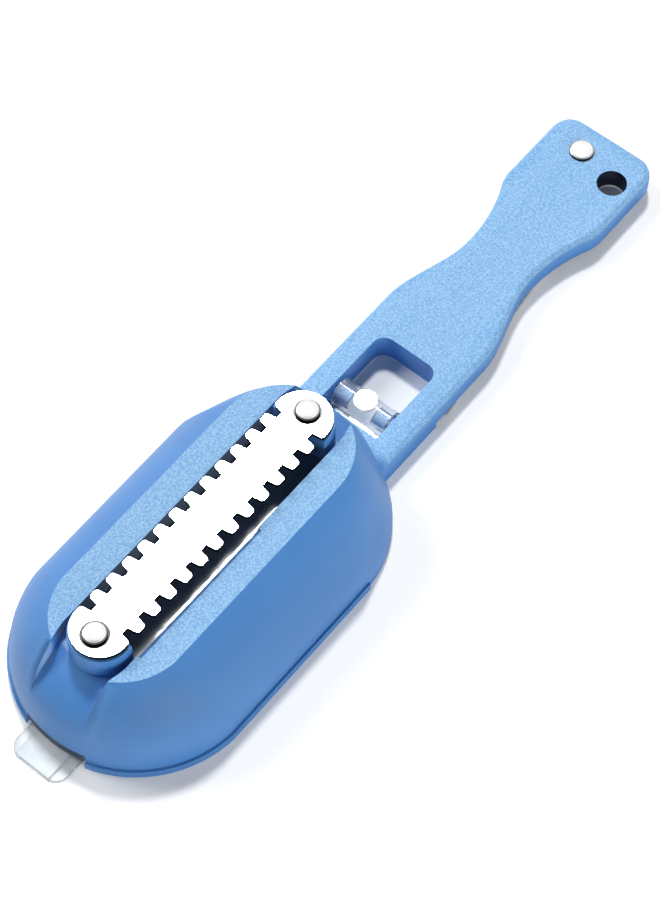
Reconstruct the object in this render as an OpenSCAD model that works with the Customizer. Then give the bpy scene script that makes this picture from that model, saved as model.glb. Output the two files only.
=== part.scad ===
// Hand fish scaler: a moulded head that catches the scales, a toothed steel blade across an open
// channel, a clear lid under the head and a folding knife under the handle.
// +X runs from the lid's tab at the tip to the handle's end, and Z is up from the flat underside.

/* [Overall] */
// Length from the lid's tab to the handle's end
overall_l = 240; // [232:1:256]
// Wall of the moulding
wall = 2.2; // [1.8:0.1:2.6]
// Running clearance of pins and rivets, on the radius
run_gap = 0.07; // [0.04:0.01:0.1]

/* [Head] */
// Length of the head at its underside
head_l = 115.4; // [108:0.2:122]
// Width of the head at its lip
head_w = 66.4; // [60:0.2:74]
// Height of the flat lands
head_h = 28.5; // [26:0.5:34]
// Width of the flat top
top_w = 36.4; // [34:0.2:42]
// How far the flat top stands back from the lip at the tip
top_front = 11.2; // [9:0.2:14]
// How far the flat top stands back from the head's rear
top_rear = 7; // [5:0.2:9]
// How far the lip stands out of the skirt
lip_out = 0.7; // [0.4:0.1:1.2]
// Height of the lip
lip_h = 2.8; // [2.4:0.1:3.6]
// How far before the head's rear the lip stops
lip_stop = 31; // [26:1:36]
// Bulge of the head's rear, from 0 for a straight slope to 1 for one as round as the sides
rear_bulge = 0.4; // [0.2:0.05:1]

/* [Channel] */
// Width of the channel between the lands
channel_w = 20; // [19.2:0.2:24]
// Width of the channel's mouth at each end
mouth_w = 17.6; // [17:0.2:19]
// Distance from each end of the flat top to where the channel starts to narrow
mouth_back = 8.4; // [7:0.2:10]
// Depth of the channel below the lands
channel_d = 4.6; // [3.5:0.1:6]
// How far the floor's rim stands back from the flank, to leave room for the fall of each mouth
mouth_fall = 6.2; // [5:0.2:7]
// Height where each mouth runs out into the flank
mouth_z = 12; // [10:0.5:14]
// Distance from each end of the flat top to the open slot under the blade
slot_end = 12.1; // [11:0.1:14]
// Width of the bevel along the near land's inner edge
bevel_w = 1.2; // [0.8:0.1:1.8]
// Length of that bevel, from the slot's front end
bevel_l = 45; // [30:1:60]

/* [Scaling blade] */
// Distance from each end of the flat top to the blade's end
blade_end = 2.85; // [1.6:0.05:4.6]
// Width over the teeth
blade_w = 15.6; // [14.6:0.1:17]
// Thickness of the blade
blade_t = 1.4; // [0.8:0.1:1.6]
// Height of the blade's underside above the lands
blade_over = 2.95; // [2:0.05:4]
// Distance from notch to notch
notch_pitch = 5.82; // [5:0.01:6.4]
// Depth of a notch
notch_d = 3; // [2:0.1:3.4]
// Width of a notch at its bottom
notch_bottom_w = 2.2; // [1.6:0.1:2.8]
// Width of a notch at its mouth
notch_mouth_w = 3.1; // [2.4:0.1:3.6]
// Corner taken off each tooth
tooth_chamfer = 0.45; // [0.2:0.05:0.7]
// Distance from each end of the blade to its rivet
rivet_in = 5.6; // [5:0.1:7]
// How far the boss stands out round the blade's end
boss_margin = 0.6; // [0.2:0.1:1.2]

/* [Rivets] */
// Diameter of the blade rivets' heads
head_d = 6.5; // [5.5:0.1:7.5]
// Height of the rivets' heads
head_rise = 1.7; // [1.2:0.1:2.2]
// Diameter of the blade rivets' shanks
shank_d = 3.2; // [2.6:0.1:3.8]
// Diameter of the blade rivets' flattened tails
tail_d = 6; // [5:0.1:7]
// Height of those tails
tail_h = 1.1; // [0.8:0.1:1.6]
// Diameter of the knife rivet's head
pivot_head_d = 6.9; // [6:0.1:8]
// Height of the knife rivet's head
pivot_head_rise = 1.3; // [1:0.1:1.8]
// Diameter of the knife rivet's shank
pivot_d = 3.5; // [3:0.1:4]

/* [Handle] */
// Thickness of the handle
handle_t = 8.7; // [8:0.1:10.5]
// Width of the handle at the head
root_w = 33; // [31:0.2:36]
// Width at the waist
waist_w = 21; // [20.4:0.2:25]
// Width at the handle's end
end_w = 31.8; // [31:0.2:36]
// Distance from the waist's middle to the handle's end
waist_back = 51.4; // [46:0.2:53]
// Length of the waist's slope toward the head
waist_front_l = 29; // [26:0.5:34]
// Radius of the waist's sweep toward the end
waist_rear_r = 50; // [44:1:60]
// Corner radius of the handle's end
end_r = 6.2; // [4:0.2:7]
// Rounding along the handle's upper edge
edge_r = 2.1; // [1:0.1:2.4]

/* [Window] */
// Gap between the head's rear and the window
window_gap = 0.6; // [0.4:0.1:1.5]
// Length of the window
window_l = 26.5; // [24:0.5:29]
// Width of the window
window_w = 19.2; // [18.4:0.2:20]
// Radius of the window's far corners
window_r = 3.6; // [2.5:0.1:5]

/* [Hanging hole] */
// Diameter of the hole
hang_d = 8.4; // [6:0.2:9]
// Distance from the hole's middle to the handle's end
hang_back = 12.6; // [11.5:0.2:14]
// How far the hole lies toward the near side
hang_side = 8.9; // [8.4:0.1:9.4]
// Rim of plastic round the hole
hang_rim = 1.8; // [1.2:0.1:2.2]

/* [Lid] */
// Thickness of the lid
lid_t = 1.4; // [1.1:0.1:1.8]
// Height of the lid above the surface it stands over
lid_lift = 0.3; // [0.2:0.05:0.5]
// Gap between the lid and the moulding round it
lid_gap = 0.4; // [0.3:0.05:0.6]
// Extra gap at the lid's rear, where it swings past the wall
lid_rear_gap = 0.9; // [0.7:0.1:1.2]
// Height of the stiffening rib inside the lid
lid_rib_h = 2.6; // [1.6:0.1:4]
// Thickness of that rib
lid_rib_t = 1.2; // [0.9:0.1:1.6]
// Distance from the head's rear to the hinge axis
hinge_back = 8.2; // [7.6:0.1:9]
// Outer diameter of the hinge barrel
barrel_d = 8; // [7.6:0.1:8.2]
// Length of the hinge barrel
barrel_l = 17; // [16:0.1:18]
// Diameter of the hinge pins in the window
hinge_pin_d = 4; // [3.4:0.1:4.4]
// How far each hinge pin stands into the barrel
hinge_pin_in = 4.3; // [3.5:0.1:5]
// Diameter of the round boss on the barrel
barrel_boss_d = 6.4; // [5.4:0.1:7.2]
// How far that boss stands above the barrel
barrel_boss_rise = 0.3; // [0.2:0.1:0.4]
// How far the tab stands out of the lip
tab_out = 7; // [5:0.2:8.5]
// Width of the tab
tab_w = 16.6; // [14:0.2:17.6]
// Corner radius of the tab
tab_r = 4; // [2:0.2:5]
// Thickness of the tab's flange
tab_t = 1.1; // [0.9:0.1:1.3]
// Width of the raised block on the tab
tab_block_w = 10.8; // [8:0.2:12]
// Gap above the raised block, under the head
tab_block_gap = 0.3; // [0.2:0.05:0.5]
// Width of the gap in the lip for the tab
lip_gap_w = 19.4; // [18.4:0.2:21]

/* [Knife] */
// Distance from the head's rear to the folded knife's tip
knife_tip_gap = 18.6; // [17:0.1:22]
// Distance from the handle's near side to the folded knife's tip
knife_tip_in = 0.65; // [0.3:0.05:1]
// Width of the knife's blunted tip
knife_tip_w = 0.6; // [0.4:0.1:1]
// Thickness of the knife
knife_t = 1.2; // [1:0.1:1.3]
// Height of the knife above the surface the handle lies on
knife_lift = 0.75; // [0.7:0.05:0.8]
// Distance from the pivot to the line of the spine
spine_side = 9.1; // [8.8:0.1:9.4]
// Width of the knife's blade
knife_w = 11.4; // [9:0.2:12]
// Length of the cutting edge's taper to the tip
edge_taper = 48; // [40:1:54]
// Distance from the round tang to the straight cutting edge
edge_neck = 4; // [3:0.5:6]
// Distance along the cutting edge before its bevel starts
edge_blunt = 4; // [2:0.5:8]
// Radius of the knife round its rivet
tang_r = 6.5; // [5.5:0.1:6.8]
// Width of the ground bevel at the cutting edge
grind_w = 2.4; // [1:0.1:3]
// Thickness left at the cutting edge
grind_left = 0.3; // [0.2:0.05:0.6]
// How far the nail lug stands out of the spine
lug_out = 1; // [0.5:0.1:1.4]
// Length of the nail lug
lug_l = 5; // [4:0.5:7]
// Distance from the pivot to the handle's end
pivot_back = 9; // [8.4:0.1:10]
// How far the pivot lies toward the far side
pivot_side = 4; // [3:0.1:4.6]
// Gap above the knife in its sweep
sweep_gap = 0.2; // [0.15:0.05:0.3]

/* [Hidden] */

// Facets of true curves, and steps round each end of the head
fn_true = 64;
head_arc = 36;
// Overrun of a cut past the face it opens
over = 1;

// Stations along the length
tip_x = -overall_l / 2;
end_x = overall_l / 2;
head_x0 = tip_x + tab_out;
head_x1 = head_x0 + head_l;
top_x0 = head_x0 + top_front;
top_x1 = head_x1 - top_rear;
mid_x = (top_x0 + top_x1) / 2;
slot_l = top_x1 - top_x0 - 2 * slot_end;
slot_x0 = mid_x - slot_l / 2;
blade_l = top_x1 - top_x0 - 2 * blade_end;
rivet_span = blade_l - 2 * rivet_in;
notch_n = 1 + floor((slot_l - notch_bottom_w) / notch_pitch);
window_x0 = head_x1 + window_gap;
window_x1 = window_x0 + window_l;
hinge_x = head_x1 + hinge_back;
waist_x = end_x - waist_back;
pivot_x = end_x - pivot_back;
hang_x = end_x - hang_back;

// Levels
channel_z = head_h - channel_d;
ceiling_z = channel_z - wall;
blade_z = head_h + blade_over;
knife_z1 = knife_lift + knife_t;
sweep_z = knife_z1 + sweep_gap;
hinge_z = lid_lift + barrel_d / 2;

// Skirt, from the top of the lip to the lands
skirt_h = head_h - lip_h;
skirt_hw = head_w / 2 - lip_out;
skirt_x0 = head_x0 + lip_out;
side_in = skirt_hw - top_w / 2;
skirt_levels = 7;
// How sharply the bulge of the sides turns into that of the rear
rear_turn = 8;

// Fall of the channel's floor at its mouths: steps, the curve's power, and how far it starts outside the flank
fall_levels = 8;
fall_power = 2.6;
fall_proud = 0.15;
mouth_steps = 6;

// Share of its whole way in that a flank has come, a share u of the way up: along an arc that starts
// upright where the bulge is 1, and straight where it is 0
flank_r = (side_in * side_in + skirt_h * skirt_h) / (2 * side_in);
function arc_share(u) = (flank_r - sqrt(flank_r * flank_r - pow(u * skirt_h, 2))) / side_in;
function flank_share(u, bulge) = (1 - bulge) * u + bulge * arc_share(u);
function between(a, b, share) = a + (b - a) * share;

// Half the handle's width at a station x, before its end corners are rounded: the waist sweeps out to the
// head along a wave, and to the end along an arc that meets the straight side at a corner
function slope(d, l) = (1 + cos(180 * min(1, d / l))) / 2;
function arc_rise(d, r) = r - sqrt(r * r - d * d);
sweep_out = sqrt(waist_rear_r * waist_rear_r - pow(waist_rear_r - (end_w - waist_w) / 2, 2));
function plain_hw(x) = x < waist_x
    ? root_w / 2 - (root_w - waist_w) / 2 * slope(waist_x - x, waist_front_l)
    : waist_w / 2 + arc_rise(min(x - waist_x, sweep_out), waist_rear_r);
function corner_in(x, r) = x > end_x - r ? r - sqrt(max(0, r * r - pow(x - end_x + r, 2))) : 0;
function handle_hw(x) = plain_hw(x) - corner_in(x, end_r);

// Stations of the handle's loft: even steps, then round the end corners
handle_sunk = 14;
loft_x0 = head_x1 - handle_sunk;
loft_steps = 42;
corner_steps = 6;
loft_x = concat(
    [for (i = [0 : loft_steps - 1]) loft_x0 + (end_x - end_r - loft_x0) * i / loft_steps],
    [for (i = [0 : corner_steps]) end_x - end_r + end_r * sin(90 * i / corner_steps)]);

// A stadium along X with its round ends inside x0 and x1
module stadium(x0, x1, hw, z0, h, fn = fn_true) {
    translate([x0 + hw, 0, z0]) cylinder(r = hw, h = h, $fn = fn);
    translate([x1 - hw, 0, z0]) cylinder(r = hw, h = h, $fn = fn);
    translate([x0 + hw, -hw, z0]) cube([x1 - x0 - 2 * hw, 2 * hw, h]);
}

// A solid through rings of equal length, each counter-clockwise seen from the last one's side
module loft(rings) {
    m = len(rings[0]);
    last = len(rings) - 1;
    sides = [for (j = [0 : last - 1]) for (k = [0 : m - 1])
        let (a = j * m + k, b = j * m + (k + 1) % m) each [[a, a + m, b], [b, a + m, b + m]]];
    caps = [[for (k = [0 : m - 1]) k], [for (k = [m - 1 : -1 : 0]) last * m + k]];
    polyhedron(points = [for (r = rings) for (p = r) p], faces = concat(sides, caps));
}

// A point round one end of the bulged body, inset by s, between the base's end and the flat top's end
function end_point(a, share, s, base_cx, top_cx, z) =
    let (r = between(skirt_hw, top_w / 2, share) - s)
    [between(base_cx, top_cx, share) + r * cos(a), r * sin(a), z];

// Outline of the bulged body a share u of the way up its flank, inset by s, at the height z
function head_ring(u, s, z) = concat(
    [for (i = [0 : head_arc]) let (a = -90 + 180 * i / head_arc)
        end_point(a, flank_share(u, between(rear_bulge, 1, pow(abs(a) / 90, rear_turn))), s,
                  head_x1 - skirt_hw, top_x1 - top_w / 2, z)],
    [for (i = [0 : head_arc]) let (a = 90 + 180 * i / head_arc)
        end_point(a, arc_share(u), s, skirt_x0 + skirt_hw, top_x0 + top_w / 2, z)]);

// The head's bulged body, inset by s, from z0 up to a height top
module head_form(s, z0, top) {
    u1 = (top - lip_h) / skirt_h;
    loft(concat([head_ring(0, s, z0)],
        [for (i = [0 : skirt_levels]) let (u = u1 * i / skirt_levels) head_ring(u, s, lip_h + u * skirt_h)]));
}

module lip() {
    intersection() {
        stadium(head_x0, head_x1 + lip_out, head_w / 2, 0, lip_h);
        translate([head_x0 - over, -head_w, -over])
            cube([head_l - lip_stop + over, 2 * head_w, lip_h + 2 * over]);
    }
}

// How far the channel's floor has come in from the flank at the height z, as it falls to its mouths
function fall_in(z) = (mouth_fall + fall_proud) * pow(max(0, z - mouth_z) / (channel_z - mouth_z), fall_power)
    - fall_proud;

// The channel's floor and its fall at both ends, as a solid under them, inset by s and lowered by drop
module floor_form(s, drop) {
    loft(concat([for (z = [-over, lip_h]) head_ring(0, s - fall_proud, z)],
        [for (i = [0 : fall_levels]) let (z = mouth_z + (channel_z - mouth_z) * i / fall_levels)
            head_ring((z - lip_h) / skirt_h, s + fall_in(z), z - drop)]));
}

// Room inside the head: full height beside the channel, lower under its floor
module head_room() {
    difference() {
        head_form(wall, -over, head_h - wall);
        difference() {
            translate([head_x0, -channel_w / 2 - wall, lip_h]) cube([head_l, channel_w + 2 * wall, head_h]);
            floor_form(wall / 2, wall);
        }
    }
}

// Channel between the lands: it narrows to its mouths, where its floor falls away into the flank
module channel() {
    mouth_x0 = top_x0 + mouth_back;
    mouth_x1 = top_x1 - mouth_back;
    half = [for (i = [0 : mouth_steps]) let (d = mouth_back * i / mouth_steps)
        [d, mouth_w / 2 + (channel_w - mouth_w) / 2 * slope(d, mouth_back)]];
    near = concat([for (i = [mouth_steps : -1 : 0]) [mouth_x0 - half[i][0], -half[i][1]]],
                  [for (p = half) [mouth_x1 + p[0], -p[1]]]);
    last = len(near) - 1;
    difference() {
        translate([0, 0, mouth_z])
            linear_extrude(head_h)
                polygon(concat([[head_x0 - over, -mouth_w / 2]], near, [[head_x1 + over, -mouth_w / 2]],
                               [[head_x1 + over, mouth_w / 2]],
                               [for (i = [last : -1 : 0]) [near[i][0], -near[i][1]]],
                               [[head_x0 - over, mouth_w / 2]]));
        floor_form(0, 0);
    }
    translate([slot_x0, -channel_w / 2, ceiling_z - over]) cube([slot_l, channel_w, head_h]);
    // bevel along the near land's inner edge
    translate([slot_x0, -channel_w / 2, head_h])
        rotate([90, 0, 90])
            linear_extrude(bevel_l)
                polygon([[over, over], [-bevel_w - over, over], [over, -bevel_w - over]]);
}

// Boss under one end of the blade; dir is -1 at the tip and 1 at the handle
module blade_boss(dir) {
    r = blade_w / 2 + boss_margin;
    end_cx = mid_x + dir * (blade_l / 2 - blade_w / 2);
    face_x = mid_x + dir * slot_l / 2;
    intersection() {
        union() {
            translate([end_cx, 0, channel_z - wall]) cylinder(r = r, h = blade_z - channel_z + wall, $fn = fn_true);
            translate([end_cx - (dir > 0 ? r : 0), -r, channel_z - wall]) cube([r, 2 * r, blade_z - channel_z + wall]);
        }
        translate([dir > 0 ? face_x : face_x - 2 * r, -r, channel_z - wall]) cube([2 * r, 2 * r, head_h]);
    }
}

module rivet_hole(dir) {
    translate([mid_x + dir * rivet_span / 2, 0, ceiling_z - over])
        cylinder(d = shank_d + 2 * run_gap, h = head_h, $fn = fn_true);
}

// How far the handle's top has dropped at a station x, to round its end
function end_drop(x) = x > end_x - edge_r ? edge_r - sqrt(max(0, edge_r * edge_r - pow(x - end_x + edge_r, 2))) : 0;

// Half of the handle's section, from its underside over the rounded edge, for a half-width and a height
function half_section(hw, top) = concat([[hw, 0]],
    [for (a = [0 : 22.5 : 90]) [hw - edge_r + edge_r * cos(a), top - edge_r + edge_r * sin(a)]]);

// Handle as a loft along X, with its upper edge and its end rounded
module handle_form() {
    loft([for (x = loft_x) let (half = half_section(handle_hw(x), handle_t - end_drop(x)))
        concat([for (p = half) [x, p[0], p[1]]], [for (i = [len(half) - 1 : -1 : 0]) [x, -half[i][0], half[i][1]]])]);
}

// Hollow underside of the handle, behind the window
module handle_room() {
    x0 = window_x1 + wall;
    x1 = end_x - wall;
    n = 24;
    xs = [for (i = [0 : n]) x0 + (x1 - x0) * i / n];
    translate([0, 0, -over])
        linear_extrude(handle_t - wall + over)
            polygon(concat([for (x = xs) [x, handle_hw(x) - wall]],
                           [for (i = [n : -1 : 0]) [xs[i], wall - handle_hw(xs[i])]]));
}

module window_cut() {
    h = handle_t + 2 * over;
    translate([window_x0, -window_w / 2, -over]) cube([window_l - window_r, window_w, h]);
    translate([window_x0, -window_w / 2 + window_r, -over]) cube([window_l, window_w - 2 * window_r, h]);
    for (s = [-1, 1])
        translate([window_x1 - window_r, s * (window_w / 2 - window_r), -over])
            cylinder(r = window_r, h = h, $fn = fn_true);
}

// Gap under the head's rear wall for the lid's tongue
module tongue_cut() {
    w = barrel_l + 2 * lid_gap;
    translate([head_x1 - 3 * wall, -w / 2, -over])
        cube([3 * wall + window_gap + over, w, over + lid_lift + lid_t + lid_gap]);
}

// Gap in the lip for the lid's tab
module tab_cut() {
    translate([head_x0 - over, -lip_gap_w / 2, -over])
        cube([over + lip_out + 3 * wall, lip_gap_w, over + lip_h]);
}

// Space swept by the knife as it swings out to the near side
module knife_sweep() {
    tip_cut_x = pivot_x - knife_l - 2.5 * run_gap - over;
    inner_y = -window_w / 2 - wall;
    far_y = pivot_side + tang_r + over;
    translate([0, 0, -over])
        linear_extrude(over + sweep_z)
            polygon([[tip_cut_x, -root_w], [tip_cut_x, inner_y], [window_x1 + over, inner_y],
                     [window_x1 + wall + over, 0], [pivot_x - tang_r, far_y], [end_x + over, far_y],
                     [end_x + over, -root_w]]);
}

module housing() color("cornflowerblue") {
    difference() {
        union() {
            head_form(0, 0, head_h);
            lip();
            handle_form();
        }
        head_room();
        handle_room();
        window_cut();
        tongue_cut();
        tab_cut();
        channel();
        rivet_hole(-1);
        rivet_hole(1);
        knife_sweep();
        translate([hang_x, -hang_side, -over]) cylinder(d = hang_d, h = handle_t + 2 * over, $fn = fn_true);
        translate([pivot_x, pivot_side, -over])
            cylinder(d = pivot_d + 2 * run_gap, h = handle_t + 2 * over, $fn = fn_true);
    }
    for (dir = [-1, 1])
        difference() {
            blade_boss(dir);
            rivet_hole(dir);
        }
    // rim round the hanging hole and post round the knife's rivet
    difference() {
        translate([hang_x, -hang_side, sweep_z])
            cylinder(r = hang_d / 2 + hang_rim, h = handle_t - wall - sweep_z, $fn = fn_true);
        translate([hang_x, -hang_side, 0]) cylinder(d = hang_d, h = handle_t, $fn = fn_true);
    }
    difference() {
        translate([pivot_x, pivot_side, knife_z1 + run_gap])
            cylinder(r = pivot_d / 2 + wall, h = handle_t - wall - knife_z1 - run_gap, $fn = fn_true);
        translate([pivot_x, pivot_side, 0]) cylinder(d = pivot_d + 2 * run_gap, h = handle_t, $fn = fn_true);
    }
    // hinge pins, one from each side of the window
    for (s = [-1, 1])
        translate([hinge_x, s * (window_w / 2 + over / 2), hinge_z])
            rotate([s * 90, 0, 0])
                cylinder(d = hinge_pin_d, h = over / 2 + (window_w - barrel_l) / 2 + hinge_pin_in, $fn = fn_true);
}

// One notch, cut inward from the blade's edge at y = 0
module notch() {
    b = notch_bottom_w / 2;
    m = notch_mouth_w / 2;
    c = tooth_chamfer;
    polygon([[-m - c, over], [-m - c, 0], [-m, -c], [-b, -notch_d], [b, -notch_d], [m, -c], [m + c, 0], [m + c, over]]);
}

module scaling_blade() color("gainsboro") {
    difference() {
        stadium(mid_x - blade_l / 2, mid_x + blade_l / 2, blade_w / 2, blade_z, blade_t);
        translate([0, 0, blade_z - over])
            linear_extrude(blade_t + 2 * over)
                for (i = [0 : notch_n - 1]) {
                    x = mid_x + (i - (notch_n - 1) / 2) * notch_pitch;
                    translate([x, blade_w / 2]) notch();
                    translate([x, -blade_w / 2]) rotate(180) notch();
                }
        for (dir = [-1, 1])
            translate([mid_x + dir * rivet_span / 2, 0, blade_z - over])
                cylinder(d = shank_d + 2 * run_gap, h = blade_t + 2 * over, $fn = fn_true);
    }
}

// A rivet: domed head above z1, shank down to z0, flattened tail below z0
module rivet(z0, z1, d, head, rise, tail, th) {
    rim = 0.35 * rise;
    rotate_extrude($fn = fn_true)
        polygon(concat(
            [[0, z0 - th], [tail / 2 - 0.3 * th, z0 - th], [tail / 2, z0 - 0.7 * th], [tail / 2, z0], [d / 2, z0],
             [d / 2, z1], [head / 2, z1]],
            [for (a = [0 : 15 : 75]) [head / 2 * cos(a), z1 + rim + (rise - rim) * sin(a)]],
            [[0, z1 + rise]]));
}

module blade_rivet(dir) {
    translate([mid_x + dir * rivet_span / 2, 0, 0])
        rivet(ceiling_z, blade_z + blade_t, shank_d, head_d, head_rise, tail_d, tail_h);
}

module front_blade_rivet() color("silver") blade_rivet(-1);

module rear_blade_rivet() color("silver") blade_rivet(1);

module lid() color("aliceblue", 0.5) {
    x0 = skirt_x0 + wall + lid_gap;
    x1 = head_x1 - wall - lid_rear_gap;
    hw = skirt_hw - wall - lid_gap;
    difference() {
        union() {
            stadium(x0, x1, hw, lid_lift, lid_t);
            // tongue and barrel of the hinge
            translate([x1 - 3 * wall, -barrel_l / 2, lid_lift]) cube([hinge_x - x1 + 3 * wall, barrel_l, lid_t]);
            translate([hinge_x, barrel_l / 2, hinge_z]) rotate([90, 0, 0]) cylinder(d = barrel_d, h = barrel_l, $fn = fn_true);
            translate([hinge_x, 0, hinge_z])
                cylinder(d = barrel_boss_d, h = barrel_d / 2 + barrel_boss_rise, $fn = fn_true);
            // tab with its rounded corners and raised block
            for (s = [-1, 1])
                translate([tip_x + tab_r, s * (tab_w / 2 - tab_r), lid_lift]) cylinder(r = tab_r, h = tab_t, $fn = fn_true);
            translate([tip_x, -tab_w / 2 + tab_r, lid_lift]) cube([tab_r, tab_w - 2 * tab_r, tab_t]);
            translate([tip_x + tab_r, -tab_w / 2, lid_lift]) cube([x0 - tip_x + wall, tab_w, tab_t]);
            translate([tip_x, -tab_block_w / 2, lid_lift])
                cube([x0 - tip_x + wall, tab_block_w, lip_h - tab_block_gap - lid_lift]);
            // stiffening rib
            difference() {
                stadium(x0 + lid_rib_t, x1 - lid_rib_t, hw - lid_rib_t, lid_lift + lid_t, lid_rib_h);
                stadium(x0 + 2 * lid_rib_t, x1 - 2 * lid_rib_t, hw - 2 * lid_rib_t, lid_lift, lid_rib_h + 2 * lid_t);
            }
        }
        // blind bores for the hinge pins
        for (s = [-1, 1])
            translate([hinge_x, s * (barrel_l / 2 + over), hinge_z])
                rotate([s * 90, 0, 0])
                    cylinder(d = hinge_pin_d + 2 * run_gap, h = over + hinge_pin_in + lid_gap, $fn = fn_true);
    }
}

// Knife with its pivot at the origin and its tip along +X: its length, the angle that it folds at to lie
// within the handle's near side, and the corners of its cutting edge
knife_l = pivot_x - head_x1 - knife_tip_gap;
tip_side = pivot_side + root_w / 2 - knife_tip_in;
fold_a = asin(tip_side / norm([knife_l, spine_side])) - atan(spine_side / knife_l);
edge_x0 = tang_r + edge_neck;
edge_straight = max(edge_x0 + edge_neck, knife_l - edge_taper);
edge_y = knife_w - spine_side;
tip_y = knife_tip_w - spine_side;
bend_share = 0.55;
bend_x = edge_straight + (knife_l - edge_straight) * bend_share;
bend_y = (edge_y + tip_y) / 2;

module knife_blank() {
    cylinder(r = tang_r, h = knife_t, $fn = fn_true);
    linear_extrude(knife_t)
        polygon([[0, tang_r], [edge_x0, edge_y], [edge_straight, edge_y], [bend_x, bend_y], [knife_l, tip_y],
                 [knife_l - knife_tip_w, -spine_side], [edge_x0, -spine_side], [0, -tang_r]]);
    translate([knife_l - lug_l - lug_out, -spine_side - lug_out, 0]) cube([lug_l, 2 * lug_out, knife_t]);
}

// Wedge taken off one face of the knife along an edge from a to b
module grind(a, b) {
    d = b - a;
    l = norm(d);
    translate([a[0], a[1], knife_t])
        rotate([0, 0, atan2(d[1], d[0])])
            rotate([90, 0, 90])
                linear_extrude(l)
                    polygon([[0.01, -(knife_t - grind_left)], [-grind_w, 0], [-grind_w, over], [over, over],
                             [over, -(knife_t - grind_left)]]);
}

module knife() color("silver") {
    translate([pivot_x, pivot_side, knife_lift])
        rotate([180, 0, 180 + fold_a])
            translate([0, 0, -knife_t])
                difference() {
                    knife_blank();
                    grind([edge_x0 + edge_blunt, edge_y], [edge_straight, edge_y]);
                    grind([edge_straight, edge_y], [bend_x, bend_y]);
                    grind([bend_x, bend_y], [knife_l, tip_y]);
                    translate([0, 0, -over]) cylinder(d = pivot_d + 2 * run_gap, h = knife_t + 2 * over, $fn = fn_true);
                }
}

module knife_rivet() color("silver") {
    translate([pivot_x, pivot_side, 0])
        rivet(knife_lift - run_gap, handle_t, pivot_d, pivot_head_d, pivot_head_rise, pivot_head_d,
              knife_lift - 2 * run_gap);
}

housing();
scaling_blade();
front_blade_rivet();
rear_blade_rivet();
lid();
knife();
knife_rivet();
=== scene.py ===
"""Looks of the fish scaler: smoothed moulding, polished blade and rivets, clear lid, floor, light and camera."""
import math

import bmesh
import bpy
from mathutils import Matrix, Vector

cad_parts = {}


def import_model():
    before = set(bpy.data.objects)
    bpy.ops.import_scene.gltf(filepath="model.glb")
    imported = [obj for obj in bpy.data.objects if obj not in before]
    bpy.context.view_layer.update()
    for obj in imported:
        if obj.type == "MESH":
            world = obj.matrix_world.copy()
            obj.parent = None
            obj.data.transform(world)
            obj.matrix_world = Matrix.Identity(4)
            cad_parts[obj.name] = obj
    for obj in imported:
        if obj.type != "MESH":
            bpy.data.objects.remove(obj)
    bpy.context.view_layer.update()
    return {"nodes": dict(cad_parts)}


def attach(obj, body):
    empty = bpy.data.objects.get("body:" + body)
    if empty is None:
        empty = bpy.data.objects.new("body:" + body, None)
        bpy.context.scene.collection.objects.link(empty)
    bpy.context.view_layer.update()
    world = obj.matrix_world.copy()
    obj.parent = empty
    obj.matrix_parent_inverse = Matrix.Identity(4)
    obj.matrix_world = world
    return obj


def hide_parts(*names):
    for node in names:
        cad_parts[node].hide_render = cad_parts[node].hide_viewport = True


MM = 0.001

# ---------- places on the part, mm ----------
# Grained faces: heights of the lands and of the handle's top, and where the handle's grain fades in behind the head
LANDS_Z = (27.6, 29.4)
HANDLE_Z = (-1.0, 11.4)
NECK = (-2.5, 0.5)
# Mouths of the channel: their ends, half their width, their heights, and the radius that the moulding blends them with
FRONT_MOUTH = (-130.0, -98.6)
REAR_MOUTH = (-7.8, 4.0)
MOUTH_HW = 12.5
MOUTH_Z = (12.0, 28.3)
MOUTH_R = 4.5
# Slot beside the blade: its ends, its walls' distance from the middle, and its heights
SLOT_X = (-97.5, -8.5)
SLOT_OFF = (8.5, 10.6)
SLOT_Z = (12.0, 28.2)
# Hanging hole: its place and radius
HOLE = (107.4, -8.9)
HOLE_R = 4.3
# Window: its ends and half its width
WINDOW_X = (2.5, 30.0)
WINDOW_HW = 10.0
# Painted shadow line between the head and the tab: its end toward the handle, half its length, and its top
LINE_X = -110.5
LINE_HW = 9.7
LINE_TOP = 5.8
# Rivets of the blade, each with its place along the part and its radius, and the width of the painted shade round them
RIVETS_AT = ((-93.35, 3.25), (-13.05, 3.25))
SEAM_SHADE = 0.9
# Where the lid's tab turns frosted, and how far in from its edges the lid is painted darker, as painted shade
FROSTED = -109.0
EDGE_R = 0.8

# Rounding of the moulding's edges: its width in mm, its segments, and the turn in degrees from which an edge has it.
# Before that, points closer than WELD mm and faces that turn by less than FLAT degrees are joined
ROUND = 0.35
ROUND_SEGMENTS = 3
SHARP = 28.0
WELD = 0.002
FLAT = 3.0

# ---------- looks: tones as a picture program writes them, sizes and depths in mm ----------
# Where a noise goes from its first tone to its second
NOISE_SPAN = (0.3, 0.7)
# Blue plastic: its smooth faces and its grained ones, the grained tone lighter partly for the grain and partly as
# painted light; the painted light on the mouths' walls, the painted shade on the slot's walls, in the bore and over
# the tab; and its roughness where it is smooth and where it is grained or in the slot
BLUE_SMOOTH = ("4c87ca", "508bce")
BLUE_GRAINED_LIT = ("6ca2db", "9acaf0")
BLUE_PAINTED_LIGHT = "90c3fe"
BLUE_SLOT_SHADE = "6f767f"
BLUE_SHADED = "10203f"
BLUE_ROUGH = (0.38, 0.55)
BLUE_CLOUD = 17.0
GRAIN = 0.55
GRAIN_SPAN = (0.32, 0.68)
GRAIN_DEPTH = 0.1
SKIN = 0.25
SKIN_DEPTH = 0.01
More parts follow.
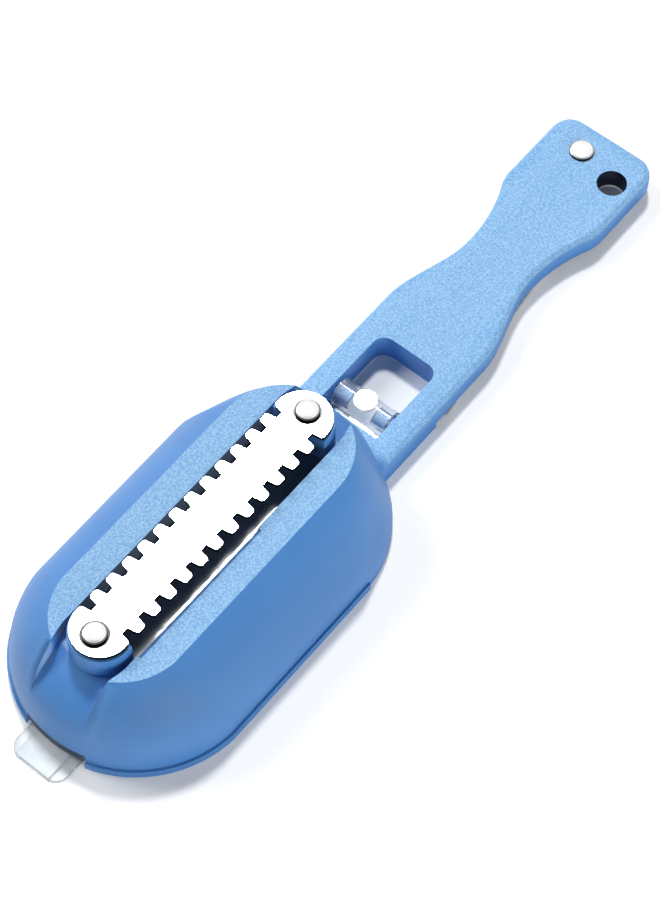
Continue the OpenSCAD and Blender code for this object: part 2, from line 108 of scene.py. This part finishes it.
# Steel: the tones of the blade, the knife and the rivets, and the painted shade of the upright edges, which stands in
# for the dark surroundings that they reflect. Its marks from rolling are drawn out along the part
BLADE_TONES = ("eceef0", "f4f5f6")
KNIFE_TONES = ("d9dcdf", "e4e6e8")
RIVET_TONES = ("f0f1f2", "f8f8f9")
BLADE_EDGE_SHADE = "1b1d20"
RIVET_RIM_SHADE = "17191b"
STEEL_CLOUD = 14.0
MARKS = 0.5
MARKS_DEPTH = 0.01
MARKS_DRAWN = (0.04, 1.0, 1.0)
# Clear plastic: its tones, the painted shade on its edges, how it tints the light that passes to the floor, and its
# flow marks
CLEAR_TONES = ("dfe7ee", "f1f5f8")
CLEAR_EDGE_SHADE = "85817c"
CLEAR_SHADE = "f6f9fa"
CLEAR_FLOW = 5.0
CLEAR_FLOW_DEPTH = 0.05
# How much light it lets through where it is clear and where it is frosted, and the share of that left at its edges
CLEAR_THROUGH = (0.88, 0.65)
EDGE_THROUGH = 0.3
# Floor: its width in metres, its tones, its roughness, and how much whiter than lit the camera sees it
FLOOR = 6.0
FLOOR_TONES = ("f7f7f6", "fafaf9")
FLOOR_CLOUD = 900.0
FLOOR_ROUGH = 0.85
LIFT = 0.2

# ---------- light and camera ----------
# World: the strengths of its even fill and of the low fill from one side, the level direction of that side, and how
# closely a ray has to point there for the first and for the second
FILL = (0.05, 5.8)
FILL_SIDE = Vector((-0.3, -0.954, 0.0))
FILL_SPAN = (0.8, 1.0)
# What gloss sees, in the same way: the room, and its darker side where the camera stands
GLOSS = (1.0, 0.3)
NEAR_SIDE = Vector((-0.776, -0.631, 0.0))
NEAR_SPAN = (0.15, 0.5)
# Lamps: the direction that each stands in, how wide it looks in degrees, and its strength
LAMPS = {"key": ((0.57, 0.49, 1.3), 8.4, 2.05), "side": ((-0.15, 1.0, 0.9), 25.0, 1.42)}
# Camera, as the photograph was taken: level across, looking down along the handle. Its heading and dip are in degrees,
# and its lens and sensor in mm
CAM_TARGET = Vector((-7.76, -2.91, 10.0)) * MM
CAM_HEADING = 39.09
CAM_DOWN = 59.55
CAM_DIST = 711.1 * MM
CAM_LENS = 110.22
CAM_SENSOR = 36.0
CAM_CLIP = 0.01

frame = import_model()


# ---------- node helpers ----------
def srgb(text):
    """A colour written as in a picture program, as the linear value that shaders take."""
    parts = [int(text[i:i + 2], 16) / 255 for i in (0, 2, 4)]
    return [p / 12.92 if p <= 0.04045 else ((p + 0.055) / 1.055) ** 2.4 for p in parts] + [1.0]


class Mat:
    """A material with one Principled shader and short calls to add nodes."""

    def __init__(self, name):
        self.m = bpy.data.materials.new(name)
        self.m.use_nodes = True
        self.t = self.m.node_tree
        self.bsdf = self.t.nodes["Principled BSDF"]
        self.pos = self.t.nodes.new("ShaderNodeTexCoord").outputs["Object"]

    def add(self, kind, inputs=None, **props):
        n = self.t.nodes.new(kind)
        for key, value in props.items():
            setattr(n, key, value)
        for key, value in (inputs or {}).items():
            self.put(n.inputs[key], value)
        return n

    def put(self, socket, value):
        if isinstance(value, bpy.types.NodeSocket):
            self.t.links.new(value, socket)
        else:
            socket.default_value = value

    def set(self, **values):
        """Give the Principled shader its values."""
        for key, value in values.items():
            self.put(self.bsdf.inputs[key.replace("_", " ")], value)

    def surface(self, shader):
        """Show this shader instead of the Principled one alone."""
        self.t.links.new(shader, self.t.nodes["Material Output"].inputs["Surface"])

    def split(self, vector):
        return self.add("ShaderNodeSeparateXYZ", {"Vector": vector}).outputs

    def place(self):
        """Where a point lies on the part: x, y and z in mm."""
        return [self.math("MULTIPLY", value, 1 / MM) for value in self.split(self.pos)[:3]]

    def normal(self):
        return self.add("ShaderNodeNewGeometry").outputs["Normal"]

    def noise(self, size_mm, detail=2.0, rough=0.5, at=None):
        values = {"Vector": self.pos if at is None else at, "Scale": 1 / (size_mm * MM), "Detail": detail,
                  "Roughness": rough}
        return self.add("ShaderNodeTexNoise", values).outputs["Fac"]

    def math(self, op, a, b=0.0, clamp=False):
        return self.add("ShaderNodeMath", {0: a, 1: b}, operation=op, use_clamp=clamp).outputs[0]

    def ramp(self, value, lo, hi, a=0.0, b=1.0):
        """A number that goes softly from a to b while a value goes from lo to hi."""
        limits = {"Value": value, "From Min": lo, "From Max": hi, "To Min": a, "To Max": b}
        return self.add("ShaderNodeMapRange", limits, interpolation_type="SMOOTHSTEP").outputs["Result"]

    def mix(self, fac, a, b):
        n = self.add("ShaderNodeMix", data_type="RGBA")
        self.put(n.inputs["Factor"], fac)
        self.put(n.inputs["A"], a)
        self.put(n.inputs["B"], b)
        return n.outputs["Result"]

    def tones(self, noise, pair, span=NOISE_SPAN):
        """A colour that a noise moves between two tones."""
        return self.mix(self.ramp(noise, *span), srgb(pair[0]), srgb(pair[1]))

    def all(self, *values):
        """The product of masks."""
        out = values[0]
        for value in values[1:]:
            out = self.math("MULTIPLY", out, value)
        return out

    def upto(self, value, hi, soft):
        """A mask that is 1 up to a value, fading before it."""
        return self.ramp(value, hi - soft, hi, 1, 0)

    def within(self, value, lo, hi, soft):
        """A mask that is 1 between two values, fading inside them."""
        return self.all(self.ramp(value, lo, lo + soft), self.upto(value, hi, soft))

    def away(self, x, y, place):
        """How far a point lies from a place on the level."""
        apart = {i: self.math("SUBTRACT", value, place[i]) for i, value in enumerate((x, y))}
        level = self.add("ShaderNodeCombineXYZ", apart).outputs[0]
        return self.add("ShaderNodeVectorMath", {0: level}, operation="LENGTH").outputs["Value"]

    def bump(self, height, depth_mm, strength, normal=None):
        values = {"Height": height, "Distance": depth_mm * MM, "Strength": strength}
        if normal is not None:
            values["Normal"] = normal
        return self.add("ShaderNodeBump", values).outputs["Normal"]


# ---------- materials ----------
def blue_plastic():
    """Moulded blue plastic: spark-grained on the lands and the handle's top, smooth with a sheen elsewhere."""
    k = Mat("moulded_blue")
    normal = k.split(k.normal())
    up, across = normal[2], k.math("ABSOLUTE", normal[1])
    x, y, z = k.place()
    off = k.math("ABSOLUTE", y)

    # Where the tool's cavity was spark-grained
    lands = k.all(k.within(z, *LANDS_Z, 0.4), k.ramp(up, 0.9, 0.99))
    handle = k.all(k.within(z, *HANDLE_Z, 0.4), k.ramp(x, *NECK), k.ramp(up, 0.1, 0.5))
    grained = k.math("ADD", lands, handle, clamp=True)
    grain = k.noise(GRAIN, rough=0.6)
    # The grained faces, which face up, take a lighter tone: partly their grain, partly painted light for the sheen of
    # lit grain
    colour = k.mix(grained, k.tones(k.noise(BLUE_CLOUD), BLUE_SMOOTH), k.tones(grain, BLUE_GRAINED_LIT, GRAIN_SPAN))

    # The mouths' walls get painted light: a lighter tone that takes away the shade they lie in
    ends = k.math("ADD", k.within(x, *FRONT_MOUTH, 1.5), k.within(x, *REAR_MOUTH, 1.5))
    mouth = k.all(ends, k.upto(off, MOUTH_HW, 2.5), k.within(z, *MOUTH_Z, 1))
    colour = k.mix(k.all(mouth, k.ramp(across, 0.2, 0.9), 0.7), colour, srgb(BLUE_PAINTED_LIGHT))
    # The slot's walls get painted shade, a dull grey for the shade inside the slot, and they are rougher
    slot = k.all(k.within(x, *SLOT_X, 0.5), k.within(off, *SLOT_OFF, 0.1), k.within(z, *SLOT_Z, 0.4),
                 k.ramp(across, 0.5, 0.9))
    colour = k.mix(k.math("MULTIPLY", slot, 0.8), colour, srgb(BLUE_SLOT_SHADE))

    # The hole's bore and the line over the tab lie in shade
    bore = k.all(k.upto(k.away(x, y, HOLE), HOLE_R + 0.1, 0.1), k.ramp(up, 0.3, 0.6, 1, 0))
    line = k.all(k.upto(off, LINE_HW, 0.2), k.upto(x, LINE_X, 0.5), k.upto(z, LINE_TOP, 0.6))
    colour = k.mix(k.math("MAXIMUM", bore, line), colour, srgb(BLUE_SHADED))

    rough = k.ramp(k.math("MAXIMUM", grained, slot), 0, 1, *BLUE_ROUGH)
    k.set(Base_Color=colour, Roughness=rough, Specular_IOR_Level=0.4, IOR=1.5)
    eased = k.add("ShaderNodeBevel", {"Radius": k.math("MULTIPLY", mouth, MOUTH_R * MM)}, samples=12)
    skin = k.bump(k.noise(SKIN), SKIN_DEPTH, 0.2, eased.outputs["Normal"])
    k.set(Normal=k.bump(k.math("MULTIPLY", grained, grain), GRAIN_DEPTH, 0.5, skin))
    return k.m


def steel(name, tones, rough, brushed, edge=None, dark=None, shaded_rivets=()):
    """Polished steel with faint marks from rolling.

    Where edge is given, a face is painted dark if it is turned up by less than the first limit, and this fades out up
    to the second one: painted shade that stands in for the dark surroundings that upright steel reflects. Round the
    rivets the blade is painted as dark, as painted shade in the crevice.
    """
    k = Mat(name)
    drawn = k.add("ShaderNodeMapping", {"Vector": k.pos, "Scale": MARKS_DRAWN}).outputs["Vector"]
    marks = k.noise(MARKS, 4.0, at=drawn)
    colour = k.mix(k.noise(STEEL_CLOUD), srgb(tones[0]), srgb(tones[1]))
    polish = k.ramp(marks, *NOISE_SPAN, rough, rough + 0.1)
    if edge:
        flat = k.ramp(k.split(k.normal())[2], *edge)
        colour = k.mix(flat, srgb(dark), colour)
        polish = k.math("MAXIMUM", polish, k.ramp(flat, 0, 1, 0.45, 0.0))
    for along, radius in shaded_rivets:
        x, y, _ = k.place()
        rivet_shade = k.upto(k.away(x, y, (along, 0.0)), radius + SEAM_SHADE, SEAM_SHADE / 2)
        colour = k.mix(rivet_shade, colour, srgb(dark))
    k.set(Base_Color=colour, Roughness=polish, Metallic=1.0, Normal=k.bump(marks, MARKS_DEPTH, brushed))
    return k.m


def clear_plastic():
    """Clear moulded plastic with soft flow marks, frosted on the tab; light passes through it to the floor."""
    k = Mat("moulded_clear")
    flow = k.noise(CLEAR_FLOW)
    frosted = k.upto(k.place()[0], FROSTED, 0.5)
    # Near its edges the lid is painted darker and lets less light through: painted shade for the darker look bent light
    # gives
    eased = k.add("ShaderNodeBevel", {"Radius": EDGE_R * MM}, samples=8).outputs["Normal"]
    facing = k.add("ShaderNodeVectorMath", {0: k.normal(), 1: eased}, operation="DOT_PRODUCT").outputs["Value"]
    edge = k.ramp(facing, 0.74, 0.98, 1, 0)
    k.set(Base_Color=k.mix(edge, k.tones(flow, CLEAR_TONES), srgb(CLEAR_EDGE_SHADE)), IOR=1.4)
    k.set(Roughness=k.math("ADD", k.ramp(flow, *NOISE_SPAN, 0.04, 0.1), k.math("MULTIPLY", frosted, 0.1)))
    through = k.math("MULTIPLY", k.ramp(frosted, 0, 1, *CLEAR_THROUGH), k.ramp(edge, 0, 1, 1, EDGE_THROUGH))
    k.set(Transmission_Weight=through, Normal=k.bump(flow, CLEAR_FLOW_DEPTH, 0.3))
    path = k.add("ShaderNodeLightPath").outputs
    passing = k.math("MAXIMUM", path["Is Shadow Ray"], path["Is Diffuse Ray"])
    straight = k.add("ShaderNodeBsdfTransparent", {"Color": srgb(CLEAR_SHADE)}).outputs[0]
    k.surface(k.add("ShaderNodeMixShader", {0: passing, 1: k.bsdf.outputs[0], 2: straight}).outputs[0])
    return k.m


BLUE = blue_plastic()
BLADE = steel("polished_blade", BLADE_TONES, 0.16, 0.1, edge=(0.3, 0.8), dark=BLADE_EDGE_SHADE, shaded_rivets=RIVETS_AT)
KNIFE = steel("ground_knife", KNIFE_TONES, 0.2, 0.15)
# The rivets' rims are painted dark: painted shade for the dark surroundings that their domes reflect
RIVET = steel("polished_rivet", RIVET_TONES, 0.1, 0.04, edge=(0.72, 0.88), dark=RIVET_RIM_SHADE)
PIVOT = steel("polished_pivot", RIVET_TONES, 0.1, 0.04, edge=(0.79, 0.93), dark=RIVET_RIM_SHADE)
CLEAR = clear_plastic()


def dress(node, material):
    """Give a CAD node its material, in every slot that it has."""
    data = frame["nodes"][node].data
    for i in range(len(data.materials)):
        data.materials[i] = material
    if not data.materials:
        data.materials.append(material)


dress("scaling_blade", BLADE)
dress("front_blade_rivet", RIVET)
dress("rear_blade_rivet", RIVET)
dress("lid", CLEAR)
dress("knife", KNIFE)
dress("knife_rivet", PIVOT)


# ---------- moulding with its edges rounded ----------
def softened(node, body, material):
    """A copy of a CAD node whose sharp edges are rounded, riding on its body in the node's place."""
    bm = bmesh.new()
    bm.from_mesh(frame["nodes"][node].data)
    bmesh.ops.remove_doubles(bm, verts=bm.verts, dist=WELD * MM)
    bmesh.ops.dissolve_limit(bm, angle_limit=math.radians(FLAT), verts=bm.verts, edges=bm.edges)
    mesh = bpy.data.meshes.new(node + "_looks")
    bm.to_mesh(mesh)
    bm.free()
    for face in mesh.polygons:
        face.use_smooth = True
    mesh.materials.clear()
    mesh.materials.append(material)
    piece = bpy.data.objects.new(node + "_looks", mesh)
    bpy.context.scene.collection.objects.link(piece)
    bevel = piece.modifiers.new("edges", "BEVEL")
    bevel.width = ROUND * MM
    bevel.segments = ROUND_SEGMENTS
    bevel.limit_method = "ANGLE"
    bevel.angle_limit = math.radians(SHARP)
    bevel.harden_normals = True
    bevel.miter_outer = "MITER_ARC"
    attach(piece, body)
    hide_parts(node)


softened("housing", "body", BLUE)


# ---------- floor, light and camera ----------
def stage():
    """A white floor, which the camera sees whiter than lit, but not in the part's window or hole."""
    bpy.ops.mesh.primitive_plane_add(size=FLOOR, location=(0, 0, 0))
    floor = bpy.context.object
    floor.name = "floor"
    k = Mat("floor")
    k.set(Base_Color=k.mix(k.noise(FLOOR_CLOUD, 1.0), srgb(FLOOR_TONES[0]), srgb(FLOOR_TONES[1])),
          Roughness=FLOOR_ROUGH)
    x, y, _ = k.place()
    window = k.all(k.within(x, *WINDOW_X, 1), k.within(y, -WINDOW_HW, WINDOW_HW, 1))
    hole = k.upto(k.away(x, y, HOLE), HOLE_R + 1.5, 1)
    open_floor = k.math("SUBTRACT", 1.0, k.math("MAXIMUM", window, hole))
    lift = k.all(k.add("ShaderNodeLightPath").outputs["Is Camera Ray"], open_floor, LIFT)
    white = k.add("ShaderNodeEmission", {"Strength": lift}).outputs[0]
    k.surface(k.add("ShaderNodeAddShader", {0: k.bsdf.outputs[0], 1: white}).outputs[0])
    floor.data.materials.append(k.m)


def world():
    """White where the camera looks, a soft fill on the part, and for its gloss a room dark on the near side."""
    w = bpy.data.worlds.new("room")
    bpy.context.scene.world = w
    w.use_nodes = True
    t = w.node_tree

    def mix(fac, a, b):
        n = t.nodes.new("ShaderNodeMix")
        t.links.new(fac, n.inputs["Factor"])
        for socket, value in (("A", a), ("B", b)):
            if isinstance(value, float):
                n.inputs[socket].default_value = value
            else:
                t.links.new(value, n.inputs[socket])
        return n.outputs["Result"]

    def toward(direction, span, strengths):
        """A strength that goes from the first to the second as a ray turns to a direction."""
        dot = t.nodes.new("ShaderNodeVectorMath")
        dot.operation = "DOT_PRODUCT"
        t.links.new(t.nodes.new("ShaderNodeTexCoord").outputs["Generated"], dot.inputs[0])
        dot.inputs[1].default_value = direction
        ramp = t.nodes.new("ShaderNodeMapRange")
        for key, value in zip(("From Min", "From Max", "To Min", "To Max"), span + strengths):
            ramp.inputs[key].default_value = value
        t.links.new(dot.outputs["Value"], ramp.inputs["Value"])
        return ramp.outputs["Result"]

    path = t.nodes.new("ShaderNodeLightPath").outputs
    fill = toward(FILL_SIDE, FILL_SPAN, FILL)
    room = mix(path["Is Glossy Ray"], fill, toward(NEAR_SIDE, NEAR_SPAN, GLOSS))
    room = mix(path["Is Transmission Ray"], room, 1.0)
    back = t.nodes["Background"]
    t.links.new(mix(path["Is Camera Ray"], room, 1.0), back.inputs["Strength"])
    back.inputs["Color"].default_value = (1, 1, 1, 1)


def lamp(name, direction, spread, strength):
    """A far, soft-edged lamp: the direction it stands in, how wide it looks in degrees, and its strength."""
    light = bpy.data.lights.new(name, "SUN")
    light.angle = math.radians(spread)
    light.energy = strength
    o = bpy.data.objects.new(name, light)
    o.location = Vector(direction)
    o.rotation_euler = Vector(direction).to_track_quat("Z", "Y").to_euler()
    bpy.context.scene.collection.objects.link(o)


def camera():
    down, heading = math.radians(CAM_DOWN), math.radians(CAM_HEADING)
    look = Vector((math.cos(down) * math.cos(heading), math.cos(down) * math.sin(heading), -math.sin(down)))
    cam = bpy.data.cameras.new("camera")
    cam.sensor_fit = "VERTICAL"
    cam.sensor_height = CAM_SENSOR
    cam.lens = CAM_LENS
    cam.clip_start = CAM_CLIP
    o = bpy.data.objects.new("camera", cam)
    o.location = CAM_TARGET - look * CAM_DIST
    o.rotation_euler = look.to_track_quat("-Z", "Y").to_euler()
    bpy.context.scene.collection.objects.link(o)
    bpy.context.scene.camera = o


stage()
world()
for name, settings in LAMPS.items():
    lamp(name, *settings)
camera()
bpy.context.scene.view_settings.view_transform = "Standard"
